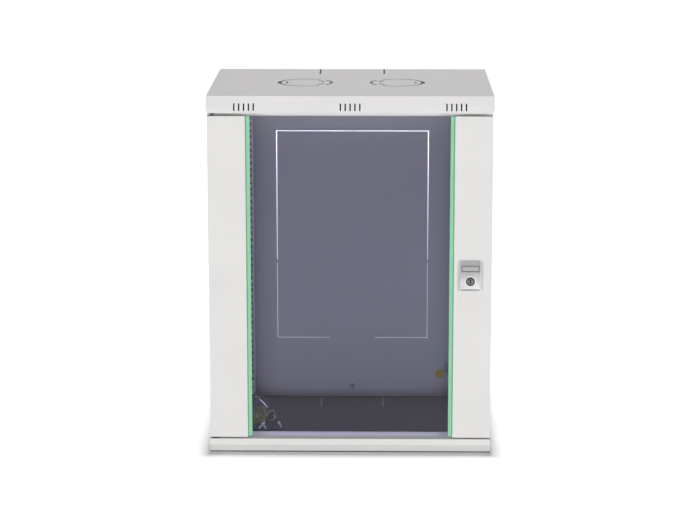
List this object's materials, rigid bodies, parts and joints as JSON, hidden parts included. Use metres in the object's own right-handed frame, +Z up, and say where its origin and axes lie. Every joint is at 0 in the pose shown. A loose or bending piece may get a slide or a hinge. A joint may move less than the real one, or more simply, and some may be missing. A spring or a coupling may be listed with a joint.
{
  "type": "wall mount network cabinet",
  "caption": "Wall mount network cabinet of folded light grey steel with a tinted glass door, green trim strips, adjustable 19-inch rails and removable side panels.",
  "frame": {"origin": "middle of the underside, halfway between the lock face and the wall face", "axes": "+X to the right of someone facing the door, +Y towards the wall, +Z up"},
  "size_m": [0.6, 0.455, 0.771],
  "materials": {
    "cabinet_paint": "light grey fine textured powder coat",
    "bare_steel": "zinc plated steel",
    "lock_metal": "satin nickel plated die casting",
    "tinted_glass": "toughened glass with a light grey tint",
    "green_trim": "extruded green plastic",
    "mounting_tape": "black foam tape",
    "nylon": "black nylon",
    "buffer_rubber": "soft rubber",
    "earth_brass": "coppered earth stud",
    "yellow_label": "printed vinyl, left plain",
    "polybag": "clear polythene with fittings inside"
  },
  "bodies": {
    "cabinet": {"top_cover": "cabinet_paint", "bottom_cover": "cabinet_paint", "rear_panel": "cabinet_paint", "front_post_left": "cabinet_paint", "front_post_right": "cabinet_paint", "rear_post_left": "cabinet_paint", "rear_post_right": "cabinet_paint", "depth_rail_lower_left": "cabinet_paint", "depth_rail_lower_right": "cabinet_paint", "depth_rail_upper_left": "cabinet_paint", "depth_rail_upper_right": "cabinet_paint", "rear_panel_screws": "bare_steel", "earth_stud": "earth_brass", "earth_nuts": "bare_steel", "earth_label": "yellow_label", "hinge_bush_lower": "nylon", "hinge_bush_upper": "nylon", "door_buffers": "buffer_rubber", "fittings_bag": "polybag"},
    "door": {"door_stile_left": "cabinet_paint", "door_stile_right": "cabinet_paint", "door_glass": "tinted_glass", "glass_tape_left": "mounting_tape", "glass_tape_right": "mounting_tape", "trim_strip_left": "green_trim", "trim_strip_right": "green_trim", "hinge_pin_lower": "bare_steel", "hinge_bracket": "cabinet_paint", "hinge_spring": "bare_steel", "lock_bezel": "lock_metal", "lock_nut": "bare_steel"},
    "upper_hinge_pin": {"hinge_pin_upper": "bare_steel"},
    "door_lock": {"lock_cylinder": "lock_metal", "lock_cam": "bare_steel", "lock_cam_screw": "bare_steel"},
    "left_side_panel": {"side_panel_left": "cabinet_paint"},
    "left_panel_lock": {"panel_lock_left": "lock_metal", "panel_cam_left": "bare_steel"},
    "right_side_panel": {"side_panel_right": "cabinet_paint"},
    "right_panel_lock": {"panel_lock_right": "lock_metal", "panel_cam_right": "bare_steel"},
    "front_rail_left": {"rack_rail_front_left": "cabinet_paint", "rail_bolts_front_left": "bare_steel"},
    "front_rail_right": {"rack_rail_front_right": "cabinet_paint", "rail_bolts_front_right": "bare_steel"},
    "rear_rail_left": {"rack_rail_rear_left": "cabinet_paint", "rail_bolts_rear_left": "bare_steel"},
    "rear_rail_right": {"rack_rail_rear_right": "cabinet_paint", "rail_bolts_rear_right": "bare_steel"}
  },
  "joints": [
    {"name": "door_hinge", "type": "hinge", "parent": "cabinet", "child": "door", "pos_m": [-0.288, -0.212, 0.3855], "axis": [0, 0, -1], "range_deg": [0, 180]},
    {"name": "upper_hinge_pin_slide", "type": "slide", "parent": "door", "child": "upper_hinge_pin", "axis": [0, 0, -1], "range_m": [0, 0.009], "stiffness_N_per_m": 400, "springref_m": -0.004, "deforming": ["hinge_spring"]},
    {"name": "door_lock_turn", "type": "hinge", "parent": "door", "child": "door_lock", "pos_m": [0.25325, -0.192, 0.381], "axis": [0, -1, 0], "range_deg": [0, 90]},
    {"name": "left_side_panel_tilt", "type": "hinge", "parent": "cabinet", "child": "left_side_panel", "pos_m": [-0.299, 0.01575, 0.036], "axis": [0, -1, 0], "range_deg": [0, 20]},
    {"name": "left_panel_lock_turn", "type": "hinge", "parent": "left_side_panel", "child": "left_panel_lock", "pos_m": [-0.299, 0.01575, 0.705], "axis": [1, 0, 0], "range_deg": [0, 90]},
    {"name": "right_side_panel_tilt", "type": "hinge", "parent": "cabinet", "child": "right_side_panel", "pos_m": [0.299, 0.01575, 0.036], "axis": [0, 1, 0], "range_deg": [0, 20]},
    {"name": "right_panel_lock_turn", "type": "hinge", "parent": "right_side_panel", "child": "right_panel_lock", "pos_m": [0.299, 0.01575, 0.705], "axis": [1, 0, 0], "range_deg": [0, 90]},
    {"name": "front_rail_left_depth", "type": "slide", "parent": "cabinet", "child": "front_rail_left", "axis": [0, 1, 0], "range_m": [-0.012, 0.11]},
    {"name": "front_rail_right_depth", "type": "slide", "parent": "cabinet", "child": "front_rail_right", "axis": [0, 1, 0], "range_m": [-0.012, 0.11]},
    {"name": "rear_rail_left_depth", "type": "slide", "parent": "cabinet", "child": "rear_rail_left", "axis": [0, 1, 0], "range_m": [-0.11, 0.006]},
    {"name": "rear_rail_right_depth", "type": "slide", "parent": "cabinet", "child": "rear_rail_right", "axis": [0, 1, 0], "range_m": [-0.11, 0.006]}
  ]
}
